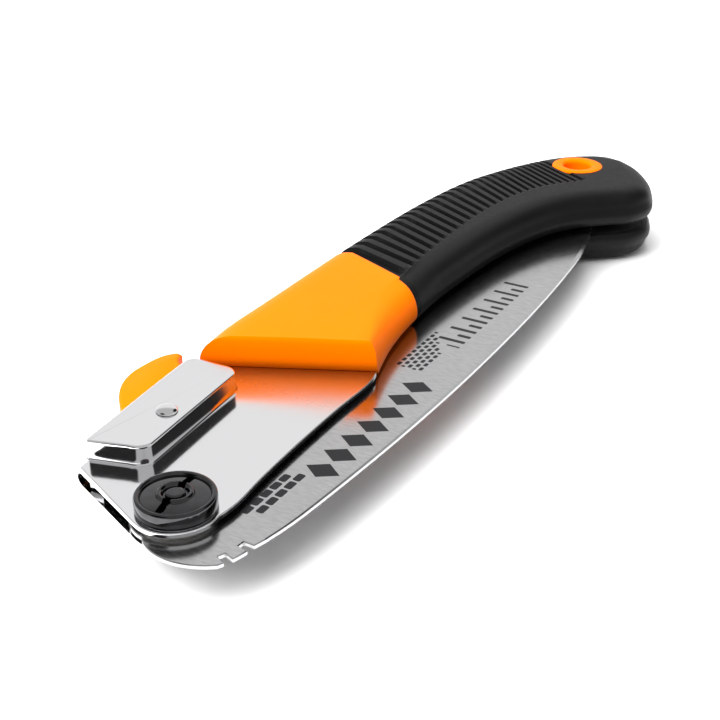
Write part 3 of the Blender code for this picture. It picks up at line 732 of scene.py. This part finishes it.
def build_pivot(nickel):
    foot = PLATE_TOP + GAP
    dome = [(r, NUT_TOP - 0.75 + 0.9 * (1 - (r / 8.6) ** 2)) for r in np.linspace(8.3, 4.7, 10)]
    profile = [(2.5, foot), (NUT_R - 0.2, foot), (NUT_R, foot + 0.3)]
    profile += [(NUT_R, NUT_TOP - 0.9), (NUT_R - 0.1, NUT_TOP - 0.45), (NUT_R - 0.35, NUT_TOP - 0.12), (NUT_R - 0.75, NUT_TOP)]
    profile += [(NUT_R - 1.1, NUT_TOP - 0.08), (NUT_R - 1.35, NUT_TOP - 0.35), (NUT_R - 1.5, NUT_TOP - 0.8)]
    profile += dome + [(4.5, NUT_TOP + 0.25), (4.25, NUT_TOP + 0.55), (3.9, NUT_TOP + 0.62), (3.55, NUT_TOP + 0.5)]
    profile += [(3.2, NUT_TOP + 0.1), (2.9, NUT_TOP - 0.6), (2.5, NUT_TOP - 0.7)]
    nut = lathe("pivot_nut", (0, 0), profile, 128)
    cut(nut, turned_slot("nut_slot", (0, 0), NUT_SLOT_ANGLE, 8.0, 1.0, NUT_TOP - 1.5, NUT_TOP + 4))
    present(nut, nickel, "handle", ["pivot_nut"], 40.0)

    head_base = PLATE_BASE - GAP - 3.4
    bolt = spindle(
        "pivot_bolt",
        (0, 0),
        [(7.2, head_base), (7.9, head_base + 0.08), (8.6, head_base + 0.5), (8.95, head_base + 1.1), (9.0, PLATE_BASE - 0.4),
         (8.8, PLATE_BASE - GAP), (4.0, PLATE_BASE - GAP), (4.0, PLATE_TOP - GAP), (2.3, PLATE_TOP - GAP),
         (2.3, NUT_TOP + 0.05), (2.1, NUT_TOP + 0.22), (1.5, NUT_TOP + 0.26)],
        96,
    )
    cut(bolt, prism("hex_key", circle((0, 0), 3.2, 6), 0, head_base + 2.2))
    present(bolt, nickel, "handle", ["pivot_bolt"], 40.0)


def pawl_outline(grow=0.0):
    across = polar(1.0, PAWL_ANGLE + 90)
    tip = polar(CREST_R + 0.3, PAWL_ANGLE)
    root = polar(CREST_R + 2.9, PAWL_ANGLE)
    ends = ((root, 1), (tip, 1), (tip, -1), (root, -1))
    tooth = [(p[0] + s * 0.7 * across[0], p[1] + s * 0.7 * across[1]) for p, s in ends]
    arm = [(5.0, 25.0), (12.0, 22.9), (20.6, 21.0)]
    hub = arc(LOCK, 3.6, -100, 100, 17)
    return inset(tooth + arm + hub + [(14.6, 28.6), (2.0, 28.4), (0.2, 27.4)], -grow)


def lever_outline():
    hub = arc(LOCK, 3.9, 180, 320, 14)
    neck = [(40.6, 24.5), (47.6, 29.5), (49.2, 36.0), (54.2, 40.6), (57.2, 44.2)]
    thumb = smooth(
        [(60.2, 45.2), (60.2, 47.6), (56.2, 50.0), (50.6, 50.9), (44.1, 50.9), (38.0, 49.1), (32.0, 45.1),
         (26.6, 39.6), (23.5, 35.0), (23.2, 29.0)],
        6,
    )
    return hub + neck + thumb


def build_lock(orange, steel, chrome):
    pawl = loft(
        "lock_pawl",
        [(MID - PAWL_HALF, pawl_outline(-0.15)), (MID - PAWL_HALF + 0.15, pawl_outline()),
         (MID + PAWL_HALF - 0.15, pawl_outline()), (MID + PAWL_HALF, pawl_outline(-0.15))],
    )
    cut(pawl, prism("pawl_bore", circle(LOCK, RIVET_R + GAP, 32), 0, THICK))
    present(pawl, steel, "lock", ["lock_pawl"])

    plan = lever_outline()
    levels = []
    for share in np.linspace(-1, 1, 13):
        height = LEVER_HALF * np.sign(share) * abs(share) ** 0.35
        corner = max(abs(height) - (LEVER_HALF - 1.0), 0.0)
        levels.append((MID + height, inset(plan, 1.0 - (1.0 - corner**2) ** 0.5)))
    lever = loft("thumb_lever", levels)
    cut(lever, prism("pawl_seat", pawl_outline(GAP), MID - PAWL_HALF - GAP, MID + PAWL_HALF + GAP))
    cut(lever, prism("lever_bore", circle(LOCK, RIVET_R + GAP, 32), 0, THICK))
    present(lever, orange, "lock", ["thumb_lever"], 40.0)

    cap = [(RIVET_HEAD_R * cos(a), 1.45 * sin(a)) for a in np.radians(np.linspace(0, 84, 10))]
    low = PAD_BASE - GAP
    high = PAD_TOP + GAP
    profile = [(r, low - rise) for r, rise in reversed(cap)] + [(RIVET_R, low), (RIVET_R, high)]
    profile += [(r, high + rise) for r, rise in cap]
    present(spindle("lock_rivet", LOCK, profile, 48), chrome, "handle", ["lock_rivet"], 50.0)


# ---------------------------------------------------------------- handle


class Chain:
    """A smooth side of the handle's plan, with its inward normals, read by distance along it."""

    def __init__(self, points, inward):
        self.points = np.array(smooth(points, 24))
        steps = np.linalg.norm(np.diff(self.points, axis=0), axis=1)
        self.reach = np.concatenate([[0.0], np.cumsum(steps)])
        along = np.gradient(self.points, axis=0)
        along /= np.linalg.norm(along, axis=1)[:, None]
        self.normals = np.stack([-along[:, 1], along[:, 0]], axis=1) * inward

    def nearest(self, point):
        return self.reach[np.argmin(np.linalg.norm(self.points - np.array(point), axis=1))]

    def at(self, distance, move):
        x = np.interp(distance, self.reach, self.points[:, 0] + self.normals[:, 0] * move)
        y = np.interp(distance, self.reach, self.points[:, 1] + self.normals[:, 1] * move)
        return np.array([x, y])


def handle_chains():
    blade_side = [(80.8, -8.3), (91.6, -5.4), (100.6, -3.4), (116.6, -1.2), (134.6, 0.0), (150.6, -0.2), (167.6, -1.0),
                  (182.6, -2.5), (197.6, -5.4), (210.6, -9.6), (220.6, -15.6), (228.0, -23.0), (235.0, -30.2),
                  (245.0, -33.6), (255.4, -31.0), (264.0, -26.4), (271.6, -20.6), (277.4, -13.6)]
    back = [(58.4, 37.5), (72.0, 39.2), (90.6, 39.5), (110.6, 40.0), (134.6, 40.4), (160.6, 40.4), (184.6, 39.8),
            (206.6, 38.0), (223.6, 35.2), (238.6, 30.6), (250.6, 25.6), (260.6, 20.4), (269.0, 14.4), (275.0, 7.8),
            (279.0, 0.8), (279.8, -6.2), (277.4, -13.6)]
    return Chain(blade_side, 1.0), Chain(back, -1.0)


def section_levels(foot, foot_inset):
    """The side of a half from its foot over its rounded edge: heights above the parting plane, and insets."""
    shape = [(foot, foot_inset), (foot + 0.12, foot_inset - 0.3), (foot + 0.45, foot_inset - 0.55), (3.6, 0.25), (6.0, 0.0),
             (9.0, 0.9), (11.2, 2.7), (12.7, 5.2), (13.35, 8.5)]
    return np.array(smooth(shape, 2))


def slot_floor(x):
    """Where the blade's slot ends inside the handle."""
    floor = ((40.0, 18.6), (102.6, 18.6), (122.6, 18.4), (150.6, 17.0), (180.6, 14.6), (204.6, 12.0), (225.6, 8.8),
             (240.6, 5.4), (248.2, 0.6), (250.0, -4.2), (255.0, -8.4), (264.6, -12.5), (275.0, -15.5), (310.0, -18.0))
    return np.interp(x, [p[0] for p in floor], [p[1] for p in floor])


def column_places():
    """Places of the section columns, in stations: (place, rib phase or None)."""
    places = [(p, None) for p in (0.0, 0.05, 0.12, 0.22, 0.34, 0.46, 0.58, 0.7, 0.82, 0.91, 0.96, 0.985, 1.0)]
    collar = len(places) - 1
    reach = LAST_RIB_STATION - BOUNDARY_STATION
    for rib in range(RIBS):
        for phase in (0.0, 0.14, 0.26, 0.5, 0.74, 0.86):
            share = (rib + 0.42 + phase) / (RIBS + 0.42)
            places.append((BOUNDARY_STATION + reach * share, phase))
    places.append((LAST_RIB_STATION + 0.06, 0.0))
    for p in np.linspace(LAST_RIB_STATION + 0.12, len(STATIONS) - 1, 22):
        places.append((p, None))
    return places, collar


def rib_cut(phase):
    if phase is None:
        return 0.0
    return 1.0 if min(phase, 1.0 - phase) < 0.2 else 0.0


def grid_normals(grid):
    along = np.gradient(grid, axis=0)
    across = np.gradient(grid, axis=1)
    normals = np.cross(along, across)
    size = np.linalg.norm(normals, axis=2)[:, :, None]
    return normals / np.maximum(size, 1e-9)


def half_grid():
    """The outer surface of the upper half as a grid: columns along the handle, rows from the slot lip over the top
    to the back's parting line. It returns the grid, the foot points under each column and the collar's last column."""
    blade_side, back = handle_chains()
    places, collar = column_places()
    stations = np.arange(len(STATIONS))
    side_reach = [blade_side.nearest(s[0]) for s in STATIONS]
    back_reach = [back.nearest(s[2]) for s in STATIONS]
    ridge_line = np.array(smooth([s[1] for s in STATIONS], 10))
    ridge_place = np.linspace(0, len(STATIONS) - 1, len(ridge_line))

    side_levels = section_levels(SLOT_HALF, 1.6)
    back_levels = section_levels(0.05, 0.9)
    level_count = len(side_levels)
    to_ridge = (0.25, 0.5, 0.75, 0.93)
    past_ridge = (0.0, 0.03, 0.06, 0.1, 0.2, 0.35, 0.5, 0.65, 0.8, 0.9)
    front_a = np.array(STATIONS[0][0])
    front_b = np.array(STATIONS[0][2])
    front_along = (front_b - front_a) / np.linalg.norm(front_b - front_a)
    front_inward = np.array([front_along[1], -front_along[0]])

    def front_shift(chain, height, level_inset, share):
        """How far along a side the front face meets the inset side. The face turns under at its foot."""
        reach = np.linspace(0, 30, 400)
        spots = np.array([chain.at(r, level_inset * share) for r in reach])
        depth = (spots - front_a) @ front_inward
        under = FRONT_UNDERCUT * min(max((FRONT_TURN - height) / FRONT_TURN, 0.0) * 2, 1.4) ** 2
        return np.interp(FRONT_SHARE * level_inset + under, depth, reach)

    side_shift = [front_shift(blade_side, h, i, CORNER_SHARE) for h, i in side_levels]
    back_shift = [front_shift(back, h, i, 1.0) for h, i in back_levels]

    grid = []
    for place, _ in places:
        ease = max(0.0, 1.0 - place / BOUNDARY_STATION)
        lean = np.interp(place, (0, BOUNDARY_STATION, LAST_RIB_STATION, LAST_RIB_STATION + 2), (0, LEAN, LEAN, 0))
        s = np.interp(place, stations, side_reach)
        b = np.interp(place, stations, back_reach)
        boxy = np.interp(place, (0.0, 0.7), (CORNER_SHARE, 1.0))
        side = []
        for k, (h, i) in enumerate(side_levels):
            side.append(np.append(blade_side.at(s + side_shift[k] * ease + lean * i, i * boxy), MID + h))
        rear = [np.append(back.at(b + back_shift[k] * ease, i), MID + h) for k, (h, i) in enumerate(back_levels)]
        ridge = np.array([np.interp(place, ridge_place, ridge_line[:, 0]), np.interp(place, ridge_place, ridge_line[:, 1])])
        start = side[-1][:2]
        end = rear[-1][:2]
        if place == 0.0:
            ridge = start + (end - start) * 0.35
        narrow = np.clip((len(stations) - 1 - place) / 1.2, 0.0, 1.0)
        ridge = (start + (end - start) * 0.4) * (1 - narrow) + ridge * narrow
        cap = [start + (ridge - start) * w for w in to_ridge] + [ridge + (end - ridge) * w for w in past_ridge]
        middle = []
        for w, spot in zip(np.linspace(0.1, 0.9, len(cap)), cap):
            crown = 0.15 * (1 - (2 * w - 1) ** 2) * narrow
            middle.append(np.append(spot, THICK - 0.15 + crown))
        grid.append(side + middle + rear[::-1])
    grid = np.array(grid)
    ridge_row = level_count + len(to_ridge)

    rows = np.arange(grid.shape[1])
    depth = np.zeros(grid.shape[:2])
    rib_rows = np.interp(rows, [ridge_row, ridge_row + 3], [0.0, 1.0])
    rib_rows *= np.interp(rows, [grid.shape[1] - 6, grid.shape[1] - 3], [1.0, 0.0])
    side_height = grid[collar + 8, :level_count, 2] - MID
    channel = np.zeros(grid.shape[1])
    channel[:level_count] = np.exp(-(((side_height - 8.2) / 1.9) ** 2))
    for column, (place, phase) in enumerate(places):
        depth[column] += RIB_DEPTH * rib_cut(phase) * rib_rows
        run = np.clip((place - 1.15) / 0.8, 0, 1) * np.clip((9.6 - place) / 1.2, 0, 1)
        depth[column] += 0.9 * run * channel
    boundary = places[collar][0]
    for column, (place, _) in enumerate(places):
        near = abs(place - boundary)
        if near < 0.001:
            depth[column] += 0.3
    grid -= grid_normals(grid) * depth[:, :, None]
    grid[:, :, 2] = np.minimum(grid[:, :, 2], THICK)
    return grid, level_count, collar


def half_solid(name, grid, front, columns):
    """Closes some columns of the upper half's surface into a solid. front is the front face's level count, or 0."""
    part = grid[columns].copy()
    count, rows = part.shape[:2]
    points = [tuple(p) for column in part for p in column]
    faces = []
    for i in range(count - 1):
        for j in range(rows - 1):
            a = i * rows + j
            faces.append((a, a + rows, a + rows + 1, a + 1))
    floor_low = []
    floor_high = []
    for i in range(count):
        start, end = part[i, 0], part[i, -1]
        shares = np.linspace(0, 1, 120)
        line = start[None, :2] + (end - start)[None, :2] * shares[:, None]
        past = line[:, 1] - slot_floor(line[:, 0])
        share = shares[np.argmax(past > 0)] if (past > 0).any() else 1.0
        share = min(max(share, 0.02), 0.98)
        spot = start[:2] + (end - start)[:2] * share
        floor_low.append(len(points))
        points.append((spot[0], spot[1], start[2]))
        floor_high.append(len(points))
        points.append((spot[0], spot[1], end[2]))
    for i in range(count - 1):
        a, b = i * rows, (i + 1) * rows
        faces.append((a, floor_low[i], floor_low[i + 1], b))
        faces.append((floor_low[i], floor_high[i], floor_high[i + 1], floor_low[i + 1]))
        faces.append((floor_high[i], a + rows - 1, b + rows - 1, floor_high[i + 1]))
    last = (count - 1) * rows
    faces.append(tuple(range(last, last + rows)) + (floor_high[-1], floor_low[-1]))
    if front:
        top = list(range(front - 1, rows - front + 1))
        previous = top
        for level in range(front - 2, -1, -1):
            a = level
            b = rows - 1 - level
            row = [a]
            for spot in top[1:-1]:
                share = np.linalg.norm(part[0, spot, :2] - part[0, top[0], :2])
                share /= np.linalg.norm(part[0, top[-1], :2] - part[0, top[0], :2])
                row.append(len(points))
                points.append(tuple(part[0, a] + (part[0, b] - part[0, a]) * share))
            row.append(b)
            for k in range(len(row) - 1):
                faces.append((previous[k], previous[k + 1], row[k + 1], row[k]))
            previous = row
        faces.append(tuple(previous) + (floor_high[0], floor_low[0]))
    else:
        faces.append(tuple(range(rows)) + (floor_high[0], floor_low[0]))
    return solid(name, points, faces)


def turn_over(piece):
    """Makes the lower half from an upper one by mirroring it in the parting plane."""
    for vertex in piece.data.vertices:
        vertex.co.z = THICK * MM - vertex.co.z
    piece.data.flip_normals()


def core_space():
    """The room that the hard core takes inside the upper half's rubber."""
    blade_side, back = handle_chains()
    first = np.arange(0.0, blade_side.reach[-1], 8.0)
    second = np.arange(0.0, back.reach[-1], 8.0)
    levels = []
    for height, move in ((-1.0, SKIN + 1.6), (1.0, SKIN + 1.2), (4.0, SKIN + 0.3), (8.0, SKIN + 1.4), (10.6, SKIN + 4.5), (11.4, SKIN + 8.0)):
        outline = [tuple(blade_side.at(r, move)) for r in first] + [tuple(back.at(r, move)) for r in second[::-1]]
        levels.append((MID + height, outline))
    return loft("core_space", levels)


def build_handle(orange, rubber):
    grid, levels, collar = half_grid()
    for upper in (True, False):
        side = "upper" if upper else "lower"
        shell = half_solid(f"collar_{side}", grid, levels, slice(0, collar + 1))
        tail = [(40.0, -60.0), (79.0, -60.0), (79.0, -8.8), (88.9, -3.4), (101.0, 7.8), (101.0, 32.8), (66.2, 32.8),
                (61.2, 36.6), (58.0, 44.0), (40.0, 44.0)]
        cut(shell, prism("tail_pocket", tail, MID - TAIL_HALF, MID + TAIL_HALF))
        grip = half_solid(f"grip_{side}", grid, 0, slice(collar, None))
        cut(grip, core_space())
        cut(grip, prism("eyelet_bore", circle(EYELET, EYELET_TUBE_R + 0.4, 48), -5, 40))
        if not upper:
            turn_over(shell)
            turn_over(grip)
            cut(shell, prism("screw_well", circle(SCREWS[0], 3.3, 32), -5, 3.8))
            for screw in SCREWS[1:]:
                cut(grip, prism("screw_well", circle(screw, 3.3, 32), -5, 3.8))
        present(shell, orange, "handle", [f"collar_{side}"], 38.0)
        present(grip, rubber, "handle", [f"grip_{side}"], 50.0)


def build_eyelet(orange):
    top = THICK + 0.4
    half = [(EYELET_TUBE_R, MID), (EYELET_TUBE_R, top - 1.6), (EYELET_FLANGE_R - 0.3, top - 1.2), (EYELET_FLANGE_R, top - 0.75)]
    half += [(EYELET_FLANGE_R - 0.15, top - 0.35), (EYELET_FLANGE_R - 0.7, top - 0.06), (EYELET_FLANGE_R - 1.5, top)]
    half += [(EYELET_HOLE_R + 1.4, top - 0.02), (EYELET_HOLE_R + 0.6, top - 0.25), (EYELET_HOLE_R + 0.12, top - 0.8)]
    half += [(EYELET_HOLE_R, top - 1.6)]
    mirrored = [(r, THICK - z if z < top - 0.4 else (THICK - z) * 0.0 + max(THICK - z, 0.0)) for r, z in half]
    profile = half + [(EYELET_HOLE_R, MID)] + mirrored[:0:-1]
    eyelet = lathe("hanging_eyelet", EYELET, profile, 72)
    present(eyelet, orange, "handle", ["hanging_eyelet"], 40.0)


# ---------------------------------------------------------------- studio


def build_camera():
    data = bpy.data.cameras.new("studio_camera")
    data.lens = 60.0
    data.sensor_width = 36.0
    data.clip_start = 0.01
    camera = bpy.data.objects.new("studio_camera", data)
    bpy.context.scene.collection.objects.link(camera)
    camera.location = CAMERA_AT
    camera.rotation_euler = (pi / 2 - radians(PITCH), 0, radians(HEADING) - pi / 2)
    bpy.context.scene.camera = camera


def build_floor():
    size = 3000.0
    floor = solid("floor", [(-size, -size, 0), (size, -size, 0), (size, size, 0), (-size, size, 0)], [(0, 1, 2, 3)])
    floor.data.materials.append(floor_material())
    if floor.data.polygons[0].normal.z < 0:
        floor.data.flip_normals()


def shade_toward(tree, direction, stops):
    """Greys by how closely a direction of the sky agrees with the given one: 0 opposite, 1 the same."""
    place = tree.nodes.new("ShaderNodeTexCoord")
    facing = tree.nodes.new("ShaderNodeVectorMath")
    facing.operation = "DOT_PRODUCT"
    facing.inputs[1].default_value = direction
    half = tree.nodes.new("ShaderNodeMath")
    half.operation = "MULTIPLY_ADD"
    half.inputs[1].default_value = 0.5
    half.inputs[2].default_value = 0.5
    ramp = tree.nodes.new("ShaderNodeValToRGB")
    elements = ramp.color_ramp.elements
    while len(elements) < len(stops):
        elements.new(1.0)
    for element, (position, grey) in zip(elements, stops):
        element.position = position
        element.color = (grey, grey, grey, 1.0)
    tree.links.new(place.outputs["Generated"], facing.inputs[0])
    tree.links.new(facing.outputs["Value"], half.inputs[0])
    tree.links.new(half.outputs["Value"], ramp.inputs["Fac"])
    return ramp.outputs["Color"]


def build_world():
    """A surround that is white ahead and grey elsewhere, with two dark spots for the mirror surfaces to show."""
    world = bpy.data.worlds.new("studio_surround")
    world.use_nodes = True
    tree = world.node_tree
    background = tree.nodes["Background"]
    sky = shade_toward(tree, (*AWAY, 0.0), SURROUND)
    for direction in FLAGS_AT:
        flagged = tree.nodes.new("ShaderNodeMix")
        flagged.data_type = "RGBA"
        flagged.blend_type = "MULTIPLY"
        flagged.inputs["Factor"].default_value = 1.0
        tree.links.new(sky, flagged.inputs["A"])
        tree.links.new(shade_toward(tree, direction, FLAG), flagged.inputs["B"])
        sky = flagged.outputs["Result"]
    tree.links.new(sky, background.inputs["Color"])
    background.inputs["Strength"].default_value = 1.0
    bpy.context.scene.world = world


def add_light(name, away, right, height, size, power, mirrored):
    """A softbox aimed at the saw. mirrored says whether shiny surfaces show it."""
    data = bpy.data.lights.new(name, "AREA")
    data.shape = "RECTANGLE"
    data.size = size[0]
    data.size_y = size[1]
    data.energy = power
    light = bpy.data.objects.new(name, data)
    bpy.context.scene.collection.objects.link(light)
    at = np.array([AWAY[0] * away + RIGHT[0] * right, AWAY[1] * away + RIGHT[1] * right, height])
    light.location = at
    light.rotation_euler = Vector(-at).to_track_quat("-Z", "Y").to_euler()
    light.visible_glossy = mirrored


def main():
    build_camera()
    chrome = chrome_material()
    nickel = nickel_material()
    steel = fastener_material()
    nylon = nylon_material()
    orange = orange_material()
    core = core_material()
    rubber = rubber_material()

    build_bolster(chrome)
    build_blade(blade_material())
    build_pivot(nickel)
    build_lock(orange, steel, chrome)
    build_handle(orange, rubber)
    build_eyelet(orange)

    carried = {
        "washer_lower": nylon, "washer_upper": nylon, "lever_spacer": nylon, "lock_spring": steel,
        "core_lower": core, "core_upper": core, "tail_pin_front": steel, "tail_pin_rear": steel,
        "handle_screw_front": steel, "handle_screw_middle": steel, "handle_screw_rear": steel,
    }
    for node, material in carried.items():
        data = frame["nodes"][node].data
        data.materials.clear()
        data.materials.append(material)

    build_floor()
    build_world()
    bpy.context.scene.view_settings.view_transform = "Standard"
    add_light("top_softbox", -0.02, -0.3, 1.0, (1.8, 1.25), 28.0, False)
    add_light("front_softbox", -0.5, -0.6, 0.6, (0.5, 0.5), 7.0, False)


main()
